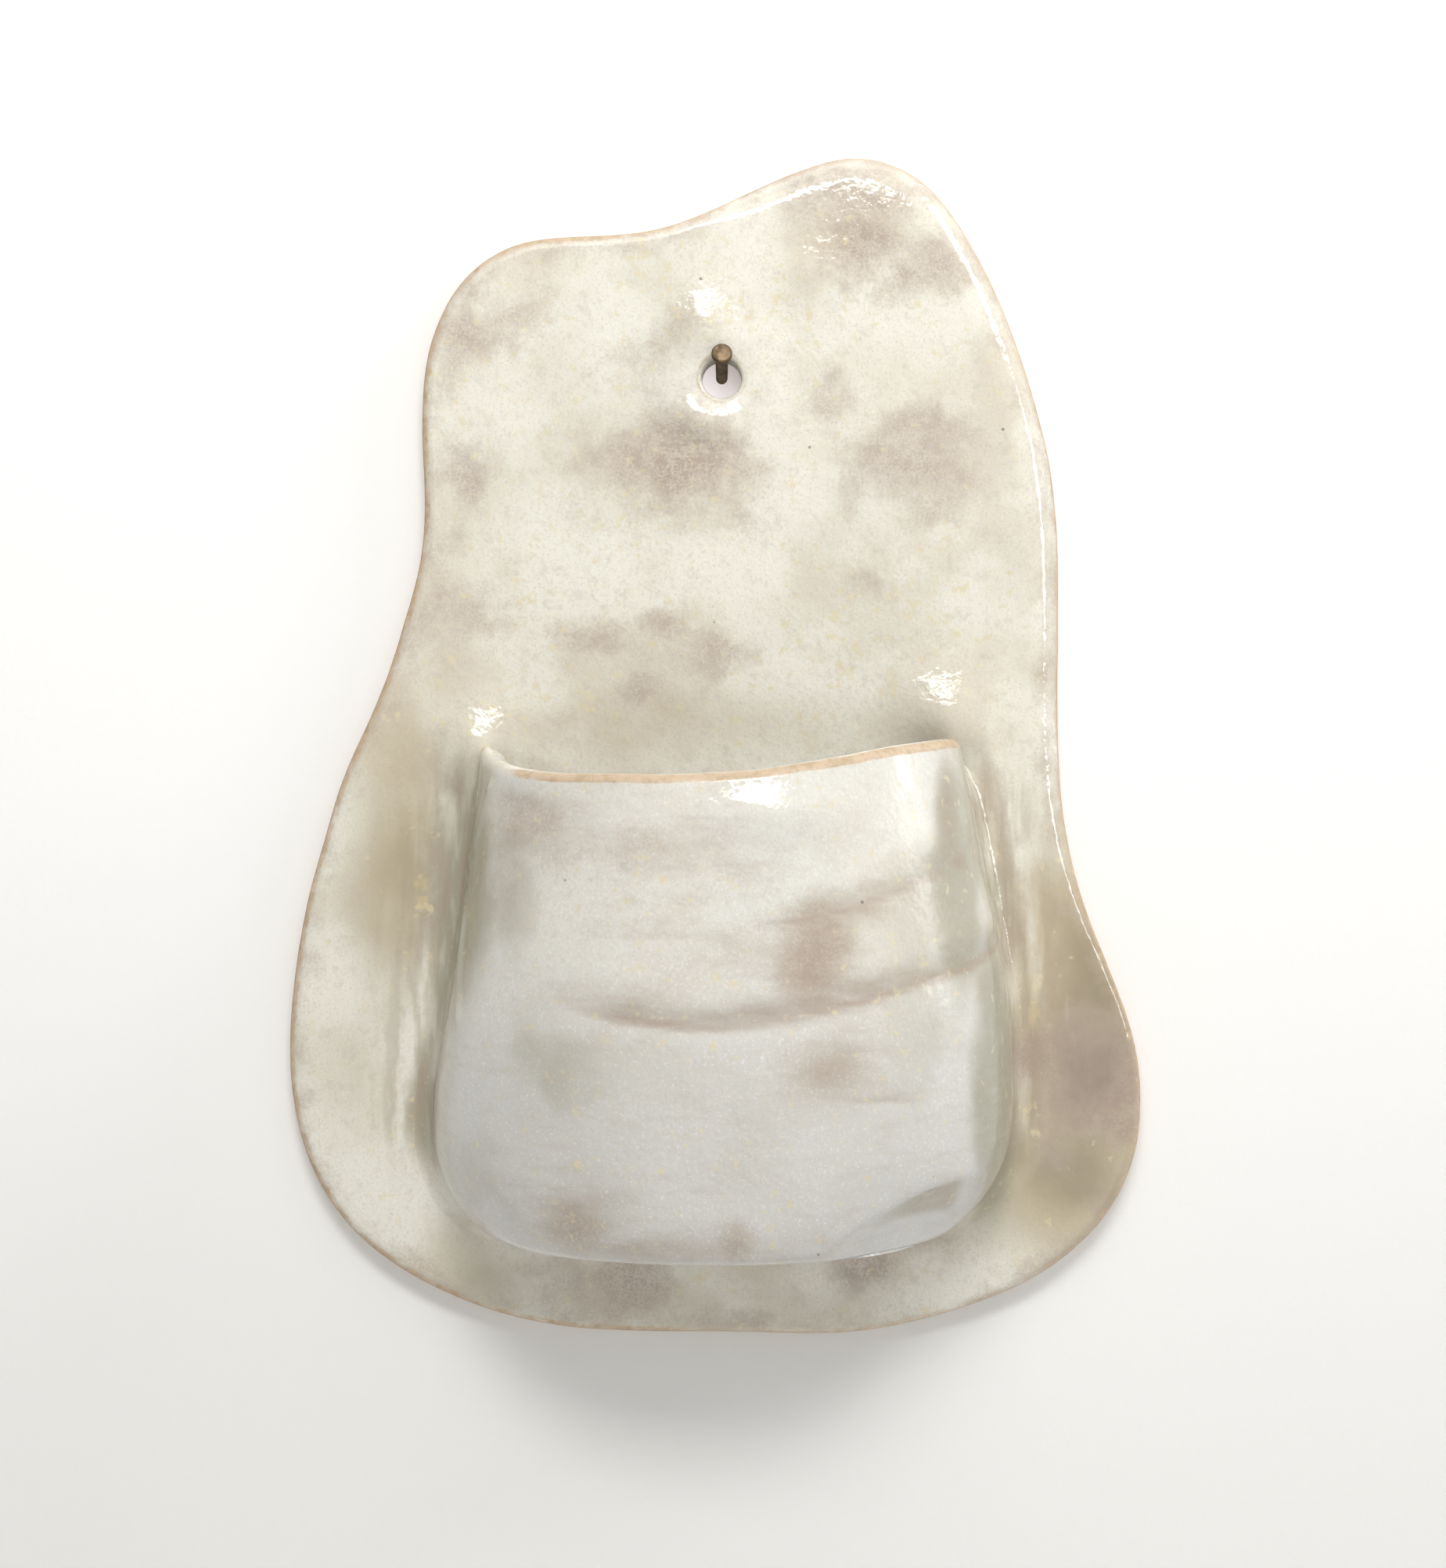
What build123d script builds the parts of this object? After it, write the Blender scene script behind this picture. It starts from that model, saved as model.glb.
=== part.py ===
from build123d import *

import os
from math import cos, radians, sin, tan

os.makedirs("parts", exist_ok=True)

# Frame: +X to the viewer's right, +Z up, +Y into the wall. The wall is the plane Y = 0.
# The origin is where the nail's axis meets the wall. Lengths are in millimetres.

# Back slab
slab_width = 178.0
slab_height = 248.0
slab_thickness = 7.0
slab_front_rounding = 3.0
slab_back_rounding = 0.8
hole_radius = 4.2
hole_front_rounding = 1.4
hole_back_rounding = 0.5

# Nail, leaning up out of the wall
nail_rise_angle = 17.5
nail_radius = 1.25
nail_neck_radius = 1.4
nail_buried_length = 22.0
nail_point_length = 4.0
nail_tip_radius = 0.15
nail_exposed_length = 10.8
nail_head_radius = 2.2
nail_head_thickness = 1.3
nail_head_bevel = 0.35
hang_clearance = 0.2

# Pocket
pocket_half_width = 61.0
pocket_depth = 56.0
pocket_height = 103.4
nail_to_foot = 180.4
wall_thickness = 5.5
floor_thickness = 6.0
foot_rounding = 2.0
rim_rounding = 2.0
rim_dip = 8.0

# Clay coils smoothed into the joint of pocket and slab
coil_reach = 6.5
coil_climb = 9.0
coil_hollow_share = 0.34
coil_root_share = 0.47

# Cuts run past the piece by this much
overrun = 5.0

# Slab outline, clockwise from the peak: shares of its width and height from the nail
slab_outline_shares = [
    (0.167, 0.188), (0.228, 0.174), (0.289, 0.127), (0.340, 0.055),
    (0.373, -0.013), (0.393, -0.069), (0.405, -0.161), (0.404, -0.269),
    (0.407, -0.350), (0.420, -0.417), (0.448, -0.481), (0.486, -0.552),
    (0.501, -0.619), (0.493, -0.669), (0.452, -0.727), (0.373, -0.774),
    (0.274, -0.803), (0.167, -0.820), (0.026, -0.821), (-0.115, -0.820),
    (-0.209, -0.814), (-0.303, -0.795), (-0.406, -0.755), (-0.478, -0.697),
    (-0.512, -0.622), (-0.514, -0.543), (-0.499, -0.464), (-0.475, -0.397),
    (-0.449, -0.339), (-0.413, -0.282), (-0.381, -0.215), (-0.358, -0.147),
    (-0.358, -0.053), (-0.350, 0.021), (-0.314, 0.077), (-0.251, 0.110),
    (-0.162, 0.119), (-0.068, 0.127), (0.026, 0.156), (0.096, 0.178),
]

# Pocket levels from the foot up: height, left and right half width and depth as shares
# of the pocket's height, half width and depth
pocket_level_shares = [
    (0.00, 0.815, 0.765, 0.930),
    (0.06, 0.910, 0.880, 0.965),
    (0.14, 0.975, 0.965, 0.988),
    (0.25, 0.990, 1.000, 1.000),
    (0.39, 0.957, 0.995, 0.994),
    (0.58, 0.905, 0.955, 0.964),
    (0.73, 0.870, 0.908, 0.928),
    (0.90, 0.843, 0.850, 0.880),
    (1.06, 0.820, 0.785, 0.830),
]

# Upright profiles of the wall from its right end round to its left end: share of the half
# turn, and the rim's dip there as a share of its greatest dip
profile_shares = [
    (0.00, 0.06), (0.05, 0.08), (0.14, 0.13), (0.24, 0.26), (0.36, 0.55), (0.48, 0.91),
    (0.60, 1.00), (0.72, 0.96), (0.82, 0.80), (0.92, 0.48), (0.97, 0.28), (1.00, 0.16),
]

# Stations of a side coil from the rim down: share of the pocket's height, and of full size
side_coil_shares = [
    (0.965, 0.35), (0.91, 0.85), (0.76, 1.00), (0.50, 1.00), (0.27, 1.00), (0.14, 1.00), (0.06, 0.90),
]

# Stations of the bottom coil between its ends: share of the foot's half width, and of full size
foot_coil_shares = [(-0.98, 0.85), (-0.60, 0.80), (-0.20, 0.80), (0.20, 0.80), (0.60, 0.80), (0.98, 0.85)]

# How square the pocket is in plan: 2 is an ellipse
arch_power = 2.35
half_turn = 180.0
# The front face of the slab, and the foot and top of the pocket
slab_face_y = -slab_thickness
foot_z = -nail_to_foot
rim_top_z = foot_z + pocket_height


def hole_centre_z():
    """The bore's top hangs just above the nail, at the inner end of the front rounding."""
    seat_depth = slab_thickness - hole_front_rounding
    axis_height = seat_depth * tan(radians(nail_rise_angle))
    nail_top = axis_height + nail_radius / cos(radians(nail_rise_angle))
    return nail_top + hang_clearance - hole_radius


def build_back_slab():
    outline = Spline([(slab_width * x, slab_height * z) for x, z in slab_outline_shares], periodic=True)
    blank = extrude(Plane.XZ * make_face(outline), slab_thickness)
    front = blank.faces().sort_by(Axis.Y)[0]
    blank = fillet(front.edges(), slab_front_rounding)
    back = blank.faces().sort_by(Axis.Y)[-1]
    blank = fillet(back.edges(), slab_back_rounding)
    bore = Plane.XZ * Pos(0, hole_centre_z()) * Cylinder(hole_radius, 2 * slab_thickness + overrun)
    slab = blank - bore
    circles = slab.edges().filter_by(GeomType.CIRCLE).sort_by(Axis.Y)
    slab = fillet(circles[0], hole_front_rounding)
    circles = slab.edges().filter_by(GeomType.CIRCLE).sort_by(Axis.Y)
    return fillet(circles[-1], hole_back_rounding)


def build_nail():
    head_back = -nail_exposed_length
    head_front = head_back - nail_head_thickness
    outline = Polyline(
        (0, head_front),
        (nail_head_radius - nail_head_bevel, head_front),
        (nail_head_radius, head_front + nail_head_bevel),
        (nail_head_radius, head_back),
        (nail_neck_radius, head_back),
        (nail_radius, 0),
        (nail_radius, nail_buried_length),
        (nail_tip_radius, nail_buried_length + nail_point_length),
        (0, nail_buried_length + nail_point_length),
        close=True,
    )
    nail = revolve(make_face(outline), Axis.Y)
    return nail.rotate(Axis.X, -nail_rise_angle)


def level_sizes(height_share):
    """Left, right and front of the pocket's outer form at a share of its height."""
    rows = pocket_level_shares
    upper = next(i for i in range(1, len(rows)) if rows[i][0] >= height_share or i == len(rows) - 1)
    low, high = rows[upper - 1], rows[upper]
    mix = (height_share - low[0]) / (high[0] - low[0])
    left, right, front = (low[k] + mix * (high[k] - low[k]) for k in (1, 2, 3))
    return left * pocket_half_width, right * pocket_half_width, front * pocket_depth


def arch_point(turn_share, height_share, inset=0.0):
    """Point of the D-shaped plan, on the outer form or inset into the wall."""
    left, right, front = level_sizes(height_share)
    turn = radians(half_turn * turn_share)
    across = abs(cos(turn)) ** (2 / arch_power)
    if turn_share > 1 / 2:
        across = -across
    outward = abs(sin(turn)) ** (2 / arch_power)
    middle = (right - left) / 2
    half = (right + left) / 2 - inset
    reach = front - inset + slab_face_y
    return Vector(middle + half * across, slab_face_y - reach * outward, foot_z + height_share * pocket_height)


def wall_profile(turn_share, dip_share):
    """Closed outline of the wall's section, foot to rim, with a round rim and foot edge."""
    rim_z = rim_top_z - dip_share * rim_dip
    top_share = (rim_z - rim_rounding - foot_z) / pocket_height
    heel_share = foot_rounding / pocket_height
    heights = [heel_share] + [row[0] for row in pocket_level_shares[1:] if row[0] < top_share - heel_share]
    heights.append(top_share)
    outer = Spline([arch_point(turn_share, height) for height in heights])
    inner = Spline([arch_point(turn_share, height, wall_thickness) for height in [0.0] + heights[1:]])
    crest = arch_point(turn_share, top_share, wall_thickness / 2) + Vector(0, 0, rim_rounding)
    rim = ThreePointArc(outer @ 1, crest, inner @ 1)
    sole_outer = arch_point(turn_share, 0.0, foot_rounding)
    heel = Line(outer @ 0, sole_outer)
    sole = Line(sole_outer, inner @ 0)
    return Wire([outer, rim, inner, sole, heel])


def build_pocket_front():
    return Solid.make_loft([wall_profile(turn, dip) for turn, dip in profile_shares])


def plate_outline(height_share, inset):
    """Flat D at one level, its straight side on the slab's face."""
    turns = [turn for turn, dip in profile_shares]
    points = [arch_point(turn, height_share, inset) for turn in turns]
    arch = Spline(points, tangents=[(0, -1, 0), (0, 1, 0)])
    return make_face([arch, Line(points[-1], points[0])])


def build_pocket_floor(wall):
    top_share = floor_thickness / pocket_height
    inset = wall_thickness / 2
    plate = loft([plate_outline(0.0, inset), plate_outline(top_share, inset)])
    return plate - wall


def joint_stations():
    """Places on the slab's face round the pocket's foot, from its left top to its right top."""
    left = [(arch_point(1.0, height), size) for height, size in side_coil_shares]
    right = [(arch_point(0.0, height), size) for height, size in reversed(side_coil_shares)]
    left_foot, right_foot = arch_point(1.0, 0.0), arch_point(0.0, 0.0)
    middle, half = (left_foot + right_foot) / 2, (right_foot - left_foot) / 2
    foot = [(middle + half * across, size) for across, size in foot_coil_shares]
    return left + foot + right


def coil_section(before, place, after, size):
    """Concave blend across the joint: a foot on the slab, a climb up the pocket, a root inside."""
    along = (after - before).normalized()
    away = Vector(along.Z, 0, -along.X)
    toe = place + away * coil_reach * size
    root = place - away * coil_root_share * wall_thickness
    head = (place + root) / 2 - Vector(0, coil_climb * size, 0)
    middle = (toe + head) / 2
    hollow = middle + (place - middle) * coil_hollow_share
    return Wire([ThreePointArc(toe, hollow, head), Line(head, root), Line(root, toe)])


def build_coils(wall, floor):
    """Left, bottom and right coil, meeting at the two lower corners."""
    stations = joint_stations()
    places = [place for place, size in stations]
    sections = []
    for i, (place, size) in enumerate(stations):
        before = places[max(i - 1, 0)]
        after = places[min(i + 1, len(places) - 1)]
        sections.append(coil_section(before, place, after, size))
    side = len(side_coil_shares)
    foot = len(foot_coil_shares)
    spans = {
        "left_seam_coil": sections[:side],
        "bottom_seam_coil": sections[side - 1:side + foot + 1],
        "right_seam_coil": sections[side + foot:],
    }
    return {name: Solid.make_loft(span) - wall - floor for name, span in spans.items()}


def main():
    wall = build_pocket_front()
    floor = build_pocket_floor(wall)
    nodes = {
        "back_slab": build_back_slab(),
        "pocket_front": wall,
        "pocket_floor": floor,
        "nail": build_nail(),
    }
    nodes.update(build_coils(wall, floor))
    for name, shape in nodes.items():
        export_step(shape, f"parts/{name}.step")
        print(name, shape.is_valid, len(shape.solids()), round(shape.volume, 1), shape.bounding_box())


main()
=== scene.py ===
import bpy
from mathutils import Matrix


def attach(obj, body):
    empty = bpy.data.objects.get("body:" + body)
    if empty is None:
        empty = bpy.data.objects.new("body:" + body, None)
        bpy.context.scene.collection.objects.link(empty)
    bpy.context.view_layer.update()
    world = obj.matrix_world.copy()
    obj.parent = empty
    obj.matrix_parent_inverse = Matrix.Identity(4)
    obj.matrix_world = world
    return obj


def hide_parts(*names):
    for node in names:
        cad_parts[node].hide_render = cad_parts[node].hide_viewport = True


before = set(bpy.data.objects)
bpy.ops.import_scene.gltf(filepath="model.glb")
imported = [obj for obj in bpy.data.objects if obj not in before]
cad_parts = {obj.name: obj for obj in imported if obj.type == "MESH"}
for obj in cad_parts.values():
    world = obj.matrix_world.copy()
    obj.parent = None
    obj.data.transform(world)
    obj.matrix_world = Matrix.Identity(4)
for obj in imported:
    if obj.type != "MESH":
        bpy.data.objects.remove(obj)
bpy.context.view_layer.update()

from math import cos, pi, radians, sin

import bpy
import numpy as np
from mathutils import Vector, noise
from mathutils.geometry import delaunay_2d_cdt

# Frame: +X to the viewer's right, +Z up, +Y into the wall. The wall is Y = 0 and the nail's
# axis leaves it at the origin. Lengths are in millimetres up to the moment a mesh is made.
MM = 0.001

# Back slab
slab_width = 178.0
slab_height = 248.0
slab_thickness = 7.0
slab_front_y = -slab_thickness
slab_back_rounding = 0.8
# Its front edge: a small corner at the side, a bevel leaning in and a wide soft arc. The last
# two grow to their second value along the right side
edge_corner = 1.9
edge_lean = radians(46)
edge_arc, edge_arc_right = 2.6, 9.0
edge_bevel, edge_bevel_right = 0.3, 2.4
# Where the wide edge comes in, across and up, on the right side and over the peak, and how
# much of it there is over the peak
wide_edge_across, wide_edge_up = (20, 60), (-160, -60)
peak_edge_across, peak_edge_up = (-12, 10), (-60, 0)
peak_edge_share = 0.75
# The outline is cut this far inside the plain one on average
cut_inset = 0.12
# Vertices round its outline and round its hole, and their spacing on its front and its back
outline_sides, hole_sides = 440, 72
front_spacing, back_spacing = 2.0, 6.0
# Its outline, clockwise from the peak: shares of its width and height from the nail
slab_outline_shares = [
    (0.167, 0.188), (0.228, 0.174), (0.289, 0.127), (0.340, 0.055),
    (0.373, -0.013), (0.393, -0.069), (0.405, -0.161), (0.404, -0.269),
    (0.407, -0.350), (0.420, -0.417), (0.448, -0.481), (0.486, -0.552),
    (0.501, -0.619), (0.493, -0.669), (0.452, -0.727), (0.373, -0.774),
    (0.274, -0.803), (0.167, -0.820), (0.026, -0.821), (-0.115, -0.820),
    (-0.209, -0.814), (-0.303, -0.795), (-0.406, -0.755), (-0.478, -0.697),
    (-0.512, -0.622), (-0.514, -0.543), (-0.499, -0.464), (-0.475, -0.397),
    (-0.449, -0.339), (-0.413, -0.282), (-0.381, -0.215), (-0.358, -0.147),
    (-0.358, -0.053), (-0.350, 0.021), (-0.314, 0.077), (-0.251, 0.110),
    (-0.162, 0.119), (-0.068, 0.127), (0.026, 0.156), (0.096, 0.178),
]

# Nail hole
hole_radius = 4.2
hole_rounding = 1.4
hole_back_rounding = 0.5
hole_centre_z = -0.92
# Height of the clay pushed up round it, above and at its lower left
hole_lip, hole_lip_low = 0.35, 0.95
hole_lip_way = radians(230)

# Pocket
pocket_half_width = 61.0
pocket_depth = 56.0
pocket_height = 103.4
foot_z = -180.4
rim_top_z = foot_z + pocket_height
rim_dip = 8.0
wall_thickness = 5.5
foot_rounding = 2.6
floor_thickness = 6.0
arch_power = 2.35
# Half height of the rim's round, and how soon its two ends sweep up where they meet the slab
rim_round = 2.2
rim_sweep_left, rim_sweep_right = 2.2, 1.6
# The wall narrows by these shares where its left and right end are smeared onto the slab
smeared_left, smeared_right = 0.5, 0.3
# How deep the pocket's pieces and the coils are sunk into the slab
sunk_pocket, sunk_coil = 0.6, 1.0
# The relief of the pocket's front comes in over this distance from the slab
relief_fade = (0, 8)

# Pocket levels from the foot up: height, left and right half width and depth, as shares
level_heights = (0.00, 0.06, 0.14, 0.25, 0.39, 0.58, 0.73, 0.90, 1.06)
level_lefts = (0.815, 0.910, 0.975, 0.990, 0.957, 0.905, 0.870, 0.843, 0.820)
level_rights = (0.765, 0.880, 0.965, 1.000, 0.995, 0.955, 0.908, 0.850, 0.785)
level_depths = (0.930, 0.965, 0.988, 1.000, 0.994, 0.964, 0.928, 0.880, 0.830)

# The rim's dip from its right end round to its left end
dip_turns = (0.00, 0.05, 0.14, 0.24, 0.36, 0.48, 0.60, 0.72, 0.82, 0.92, 0.97, 1.00)
dip_shares = (0.06, 0.08, 0.13, 0.26, 0.55, 0.91, 1.00, 0.96, 0.80, 0.48, 0.28, 0.16)

# Seam coils
coil_reach = 6.5
coil_climb = 9.0
# How its size grows down from the rim, by share of the pocket's height, its least size, and
# its size along the foot
coil_growth = (1.005, 0.86)
coil_least, coil_foot_size = 0.04, 0.92
# How far its curve is pulled into the joint, and how deep its head and root go into the wall
coil_pull = 0.66
coil_head_sunk, coil_head_depth, coil_root_depth = 0.18, 2.2, 2.6
# Distance from the joint of the raised border that the coil leaves on the slab
coil_border = 7.4

# Waves in rolled and cut clay: height, length from crest to crest, and seed
slab_waves = [(0.30, 34, 1), (0.08, 11, 2)]
pocket_waves = [(0.35, 24, 3), (0.10, 9, 4)]
cut_waves = [(0.12, 13, 5), (0.05, 4, 6)]
rim_waves = [(0.25, 16, 8)]
coil_waves = [(0.35, 15, 10)]
# Length and seed of the waves that break up a crease, vary the coils' size and the slab's
# edge, and lie between a finger's strokes, which are drawn out upright
crease_breaks, coil_changes, edge_changes, stroke_waves = (13, 11), (30, 9), (40, 7), (2.6, 12)
stroke_squash = (1.0, 1.0, 0.16)
# How far one seed moves a wave's pattern from the next
seed_steps = (17.3, 5.1, 9.7)

# Nail
nail_rise = radians(17.5)
nail_radius = 1.25
nail_neck_radius = 1.4
nail_head_radius = 2.2
nail_head_thickness = 1.3
nail_exposed_length = 10.8
nail_buried_length = 22.0
nail_point_length = 4.0

# Camera: its distance from the wall, its place across and up, its picture's size in pixels,
# the length that a pixel covers at the wall, and its film's width
camera_distance = 520.0
camera_x = 0.252
camera_z = -87.02
picture_width, picture_height = 1848, 2004
mm_per_pixel_at_wall = 0.168
sensor_width = 36.0

# Room: its light on the vase, and how bright it looks behind it and in reflections
room_light = 0.20
background_light = 0.80


# ---- Shapes the pieces share ----

def between(p, q, slope_p, slope_q, span, t):
    """Smooth curve from p to q over a span, at shares of it, with a slope at each end."""
    return ((1 + 2 * t) * (1 - t) ** 2 * p + t * (1 - t) ** 2 * span * slope_p
            + t * t * (3 - 2 * t) * q + t * t * (t - 1) * span * slope_q)


def through(xs, ys, x):
    """Smooth curve through a few values, with each one's slope taken from its neighbours."""
    xs, ys, x = (np.asarray(v, float) for v in (xs, ys, x))
    slopes = np.gradient(ys, xs)
    i = np.clip(np.searchsorted(xs, x) - 1, 0, len(xs) - 2)
    span = xs[i + 1] - xs[i]
    t = np.clip((x - xs[i]) / span, 0, 1)
    return between(ys[i], ys[i + 1], slopes[i], slopes[i + 1], span, t)


def level_sizes(height):
    """Left, right and front of the pocket's outer form at a share of its height."""
    return (through(level_heights, level_lefts, height) * pocket_half_width,
            through(level_heights, level_rights, height) * pocket_half_width,
            through(level_heights, level_depths, height) * pocket_depth)


def arch_point(turn, height, inset=0.0):
    """Point of the D-shaped plan, turn 0 at the right end and 1 at the left end."""
    turn, height, inset = np.broadcast_arrays(*map(np.asarray, (turn, height, inset)))
    left, right, front = level_sizes(height)
    across = np.sign(0.5 - turn) * np.abs(np.cos(pi * turn)) ** (2 / arch_power)
    outward = np.abs(np.sin(pi * turn)) ** (2 / arch_power)
    middle, half = (right - left) / 2, (right + left) / 2 - inset
    reach = front - inset - slab_thickness
    return np.stack([middle + half * across, slab_front_y - reach * outward,
                     foot_z + height * pocket_height], -1)


def pocket_face_y(x, z):
    """The outer form's front at a place across and up, as seen straight on."""
    left, right, front = level_sizes((z - foot_z) / pocket_height)
    across = np.clip(np.abs(x - (right - left) / 2) / ((right + left) / 2), 0, 1)
    return slab_front_y - (front - slab_thickness) * (1 - across ** arch_power) ** (1 / arch_power)


def in_picture(px, py, on_pocket):
    """The place on the slab or on the pocket that a pixel of the picture shows."""
    depth = slab_thickness
    for _ in range(25 if on_pocket else 1):
        scale = mm_per_pixel_at_wall * (camera_distance - depth) / camera_distance
        x = camera_x + (px - picture_width / 2) * scale
        z = camera_z - (py - picture_height / 2) * scale
        if on_pocket:
            depth = (depth - float(pocket_face_y(x, z))) / 2
    return np.array([x, -depth, z])


def closed_curve(points, count):
    """Evenly spaced points on the smooth closed curve through a few points."""
    points = np.array(points, float)
    n = len(points)
    steps = np.linalg.norm(np.roll(points, -1, 0) - points, axis=1)
    system, target = np.zeros((n, n)), np.zeros((n, 2))
    for i in range(n):
        before, after = 1 / steps[i - 1], 1 / steps[i]
        system[i, i - 1], system[i, i], system[i, (i + 1) % n] = before, 2 * (before + after), after
        target[i] = 3 * ((points[i] - points[i - 1]) * before ** 2
                         + (points[(i + 1) % n] - points[i]) * after ** 2)
    slopes = np.linalg.solve(system, target)
    t = np.linspace(0, 1, 30, endpoint=False)[:, None]
    dense = [between(points[i], points[(i + 1) % n], slopes[i], slopes[(i + 1) % n], steps[i], t)
             for i in range(n)]
    dense = np.vstack(dense + [points[:1]])
    along = np.r_[0, np.cumsum(np.linalg.norm(np.diff(dense, axis=0), axis=1))]
    even = np.linspace(0, along[-1], count, endpoint=False)
    return np.stack([np.interp(even, along, dense[:, k]) for k in (0, 1)], -1)


def waviness(points, size, seed):
    """Soft random waves between -1 and 1, about this many millimetres from crest to crest."""
    shift = Vector([seed * step for step in seed_steps])
    return np.array([noise.noise(Vector(p) / size + shift) for p in np.atleast_2d(points)])


def waves(points, rows):
    """Waves of several sizes laid over one another."""
    return sum(height * waviness(points, size, seed) for height, size, seed in rows)


def ease(x, low, high):
    """0 below low, 1 above high, smooth between; low may be the larger."""
    t = np.clip((x - low) / (high - low), 0, 1)
    return t * t * (3 - 2 * t)


def hump(distance, width):
    """1 in the middle, falling off on both sides as a bell does."""
    return np.exp(-(distance / width) ** 2)


def nearest(points, others):
    """Distance of each point from the nearest of the others, one block of points at a time."""
    blocks = np.array_split(points, len(points) // 2000 + 1)
    return np.concatenate([np.linalg.norm(block[:, None] - others[None], axis=2).min(1)
                           for block in blocks])


# ---- What the maker's hand and the kiln left, placed by the picture ----
# Fades, each from where it is 0 to where it is 1, in millimetres
lip_rises, lip_runs_out = (5.0, 8.6), (18.0, 9.6)      # from the nail hole's middle
border_above_foot, border_above_rim = (0, 30), (6, -4)
border_off_middle = (40, 48)
strokes_begin, strokes_end = (5, 8), (22, 12)          # from the joint of pocket and slab
streaks_above_foot, streaks_above_rim = (4, 26), (-1, -14)
streaks_off_middle = (30, 44)
pool_above_rim, pool_to_left = (-6, -20), (10, -10)
# The second fade on this line brings in the painted shade that darkens the pocket's front towards its
# foot
front_off_slab, shade_above_foot = (2, 14), (70, 30)
# Reach of the pool and of the streaks from the joint
pool_reach, streak_reach = 6.2, 13.0

# How thin the glaze is along the slab's edge: share, and its fade by distance in from there
edge_thin = [(0.75, (0.55, 0)), (0.50, (3.4, 0.6))]

# How much of the thin glaze's band the rim carries, from its right end round to its left end
band_turns = (0, 0.03, 0.1, 0.5, 0.66, 0.76, 0.84, 1)
band_shares = (0, 0.7, 0.9, 1, 1, 0.5, 0, 0)

# Each patch: pixel across and down, half width and half height in pixels, strength. At its
# half width a patch has kept exp(-patch_fall) of its strength
patch_fall = 0.45

# Smoked mauve grey in the kiln
slab_smoke = [
    (1085, 250, 70, 34, 0.85), (1100, 310, 40, 45, 0.80), (1185, 350, 65, 30, 0.75),
    (635, 425, 60, 45, 0.60), (580, 475, 35, 55, 0.50), (602, 605, 42, 30, 0.75),
    (870, 590, 75, 52, 1.00), (755, 595, 40, 48, 0.55), (840, 480, 55, 60, 0.45),
    (885, 425, 35, 35, 0.50), (1165, 590, 70, 60, 0.72), (1055, 525, 45, 50, 0.45),
    (1200, 545, 45, 35, 0.35), (955, 670, 22, 30, 0.50), (1010, 440, 25, 30, 0.35),
    (580, 715, 22, 45, 0.40), (600, 785, 60, 48, 0.50), (755, 820, 50, 22, 0.65),
    (850, 797, 30, 22, 0.60), (908, 837, 45, 26, 0.70), (825, 885, 45, 22, 0.55),
    (1110, 740, 38, 25, 0.35), (810, 1640, 36, 32, 1.05), (720, 1635, 50, 42, 0.50),
    (1105, 1622, 48, 36, 0.75), (1180, 1590, 40, 30, 0.40), (1395, 1375, 46, 50, 1.75),
    (1345, 1440, 30, 40, 0.60), (1330, 1352, 34, 26, 1.20),
    (1430, 1410, 18, 40, 1.40),
]
pocket_smoke = [
    (700, 1075, 80, 38, 0.45), (840, 1095, 90, 45, 0.42), (930, 1130, 90, 35, 0.35),
    (1035, 1215, 45, 55, 0.75), (950, 1240, 90, 50, 0.35), (1000, 1060, 80, 25, 0.30),
    (730, 1572, 36, 28, 0.75), (940, 1588, 18, 24, 0.75), (1060, 1370, 60, 40, 0.55),
    (860, 1600, 90, 14, 0.50), (820, 1290, 110, 30, 0.40), (1100, 1290, 60, 25, 0.35),
    (660, 1040, 70, 24, 0.75), (640, 1100, 30, 60, 0.45),
]
# Freckled with ochre
ochre_places = [
    (540, 1140, 16, 40, 1.0), (1322, 1290, 10, 34, 1.0), (1310, 1420, 12, 16, 0.9),
    (1285, 1510, 16, 10, 0.9), (898, 1632, 14, 10, 1.0), (1100, 800, 110, 60, 0.7),
    (945, 400, 90, 40, 0.7), (740, 550, 160, 120, 0.35), (660, 900, 90, 40, 0.7),
    (1150, 880, 60, 40, 0.5), (850, 330, 50, 40, 0.6), (1255, 1140, 16, 60, 0.5),
    (600, 690, 60, 80, 0.3), (1040, 930, 80, 30, 0.4),
]
# Warm beige, where the white lies thinner over the clay; the long patch above the rim and the strong
# patches on the right flange are painted shade
beige_and_shade_places = [
    (515, 1090, 60, 170, 0.95), (900, 925, 250, 45, 0.60), (1385, 1330, 90, 200, 1.35),
    (1360, 1510, 80, 80, 1.3), (600, 1610, 70, 60, 0.6), (780, 1660, 200, 22, 0.5),
    (560, 800, 60, 120, 0.6), (1260, 1080, 35, 90, 0.8), (700, 480, 60, 60, 0.5),
    (1060, 300, 90, 30, 0.5),
]
# Grey green where the glaze pooled; on the pocket's flanks and the flange below it these patches are also
# painted shade
pool_and_shade_places = [
    (1205, 1180, 50, 170, 0.50), (1225, 1130, 30, 110, 1.10), (1268, 1390, 22, 150, 1.15),
    (1213, 1050, 18, 60, 1.30), (640, 1120, 50, 120, 0.50), (685, 1390, 60, 150, 0.50),
    (600, 1150, 35, 110, 1.15), (1200, 1000, 30, 60, 0.50), (640, 1480, 50, 90, 0.40),
    (1340, 1520, 60, 60, 0.40), (620, 1640, 60, 30, 0.3), (1000, 1650, 120, 30, 0.25),
]
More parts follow.
